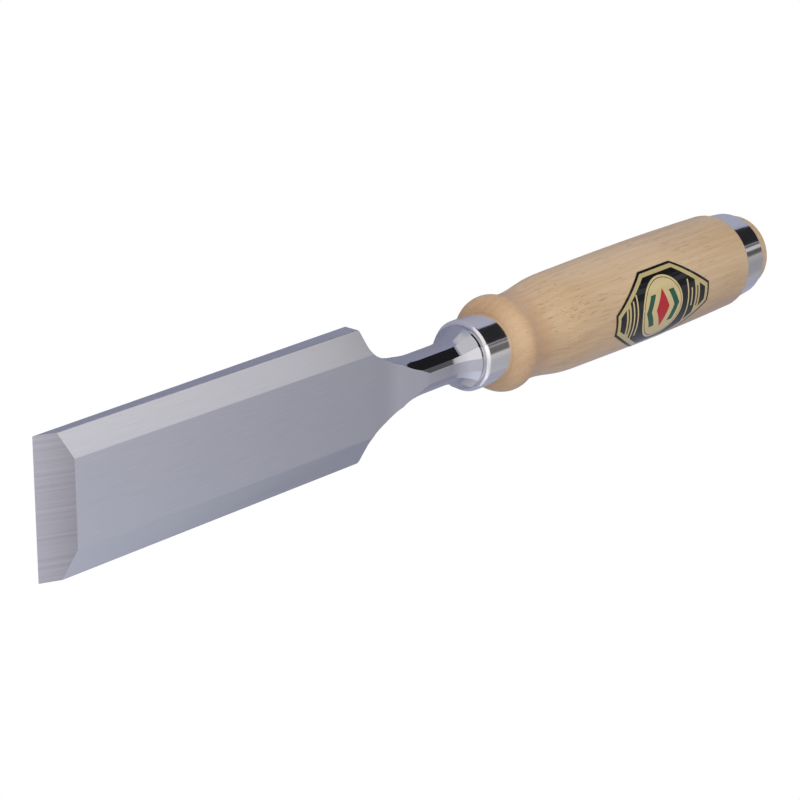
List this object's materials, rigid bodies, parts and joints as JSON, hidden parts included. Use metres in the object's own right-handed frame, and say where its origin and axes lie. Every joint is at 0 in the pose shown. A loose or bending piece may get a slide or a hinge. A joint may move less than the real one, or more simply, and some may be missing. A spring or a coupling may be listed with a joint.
{
  "type": "bevel-edge bench chisel",
  "caption": "Wide bevel-edged bench chisel with a flat back, octagonal neck, round bolster, ferrule, turned wooden handle and tapered striking hoop.",
  "frame": {"origin": "middle of the cutting edge, on the flat back of the blade", "axes": "+X from the cutting edge to the struck end, +Y across the blade, +Z from the flat back to the bevelled face"},
  "size_m": [0.3079, 0.04, 0.0322],
  "materials": {
    "tool_steel": "finely ground flats, polished neck",
    "plated_steel": "bright nickel plating",
    "lacquered_wood": "clear lacquer on pale hornbeam",
    "printed_label": "glossy printed sticker"
  },
  "bodies": {
    "root": {"blade": "tool_steel", "ferrule": "plated_steel", "handle": "lacquered_wood", "striking_hoop": "plated_steel", "label": "printed_label"}
  },
  "joints": []
}
